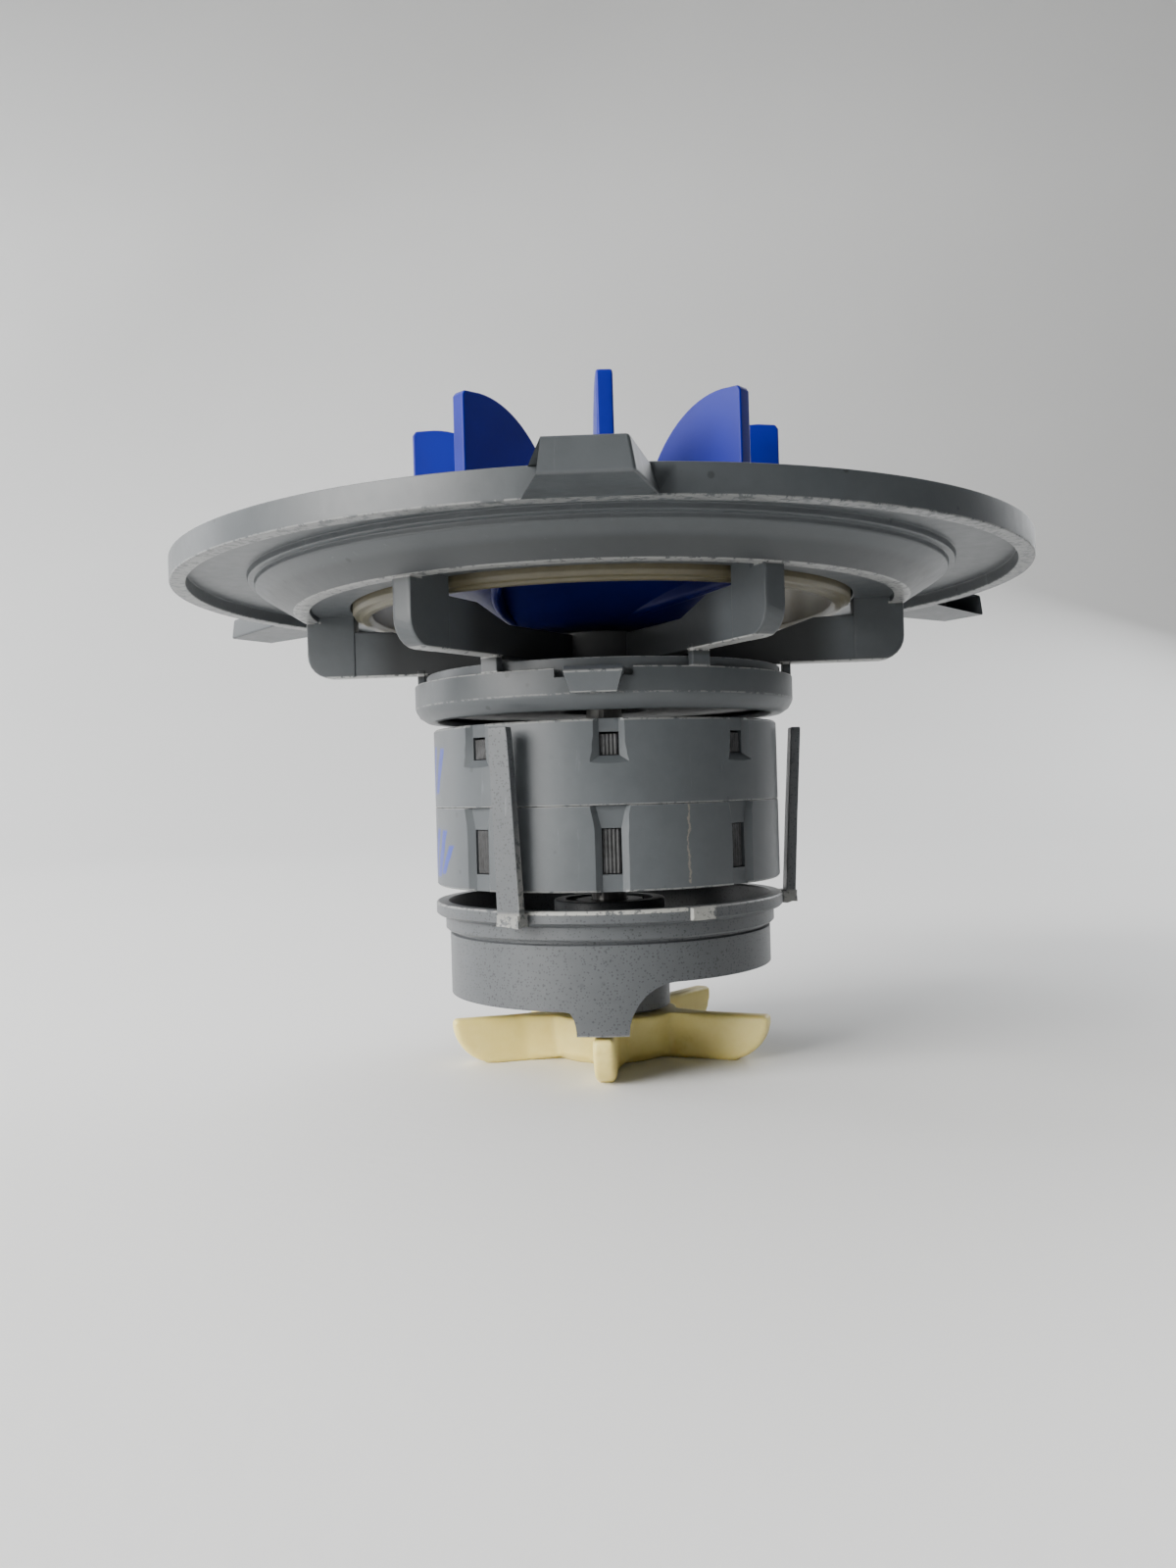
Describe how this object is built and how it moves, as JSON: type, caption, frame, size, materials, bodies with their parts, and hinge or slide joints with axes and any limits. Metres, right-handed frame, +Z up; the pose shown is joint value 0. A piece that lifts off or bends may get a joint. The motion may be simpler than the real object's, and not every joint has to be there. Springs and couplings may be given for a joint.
{
  "type": "pump cartridge",
  "caption": "Wet-rotor pump cartridge: flanged cage housing with bayonet lugs, magnet rotor with a finned impeller above and a bladed impeller below, and a loose clip-on cap.",
  "frame": {"origin": "on the shaft axis, at the flat bottom of the drain impeller hub, which it stands on", "axes": "+Z up along the shaft towards the wash impeller, -Y towards the front lug and front snap hook, +X to the right seen from the front"},
  "size_m": [0.1518, 0.1548, 0.1066],
  "materials": {
    "moulded_grey": "moulded grey plastic, fine satin, burred light edges",
    "speckled_grey": "filled grey plastic with fine dark speckle",
    "cream_plastic": "cream plastic, softly translucent satin",
    "blue_plastic": "saturated blue plastic, semi-gloss",
    "black_plastic": "black plastic, matt",
    "ferrite": "dark ferrite, matt, ridged",
    "steel": "ground steel",
    "carbon": "carbon graphite, satin",
    "rubber": "black rubber, matt",
    "ceramic": "off-white ceramic, polished"
  },
  "bodies": {
    "pump_housing": {"pump_housing": "moulded_grey", "wear_ring": "cream_plastic", "bearing_carrier": "moulded_grey", "upper_bush": "carbon", "upper_bush_grommet": "rubber"},
    "rotor": {"shaft": "steel", "back_iron": "steel", "rotor_hub": "black_plastic", "magnet_1": "ferrite", "magnet_2": "ferrite", "magnet_3": "ferrite", "magnet_4": "ferrite", "magnet_5": "ferrite", "magnet_6": "ferrite", "magnet_7": "ferrite", "magnet_8": "ferrite", "rotor_end_plate_lower": "black_plastic", "rotor_end_plate_upper": "black_plastic", "rotor_shell_lower": "moulded_grey", "rotor_shell_upper": "moulded_grey", "wash_impeller": "blue_plastic", "impeller_washer": "steel", "impeller_nut": "steel", "drain_impeller": "cream_plastic", "thrust_washer_lower": "ceramic", "thrust_washer_upper": "ceramic"},
    "lower_housing": {"lower_housing": "speckled_grey", "lower_bush": "carbon", "lower_bush_grommet": "rubber"}
  },
  "joints": [
    {"name": "rotor_spin", "type": "hinge", "parent": "pump_housing", "child": "rotor", "pos_m": [0, 0, 0.0426], "axis": [0, 0, 1], "continuous": true},
    {"name": "lower_housing_swivel", "type": "hinge", "parent": "pump_housing", "child": "lower_housing", "pos_m": [0, 0, 0.0186], "axis": [0, 0, 1], "continuous": true}
  ]
}
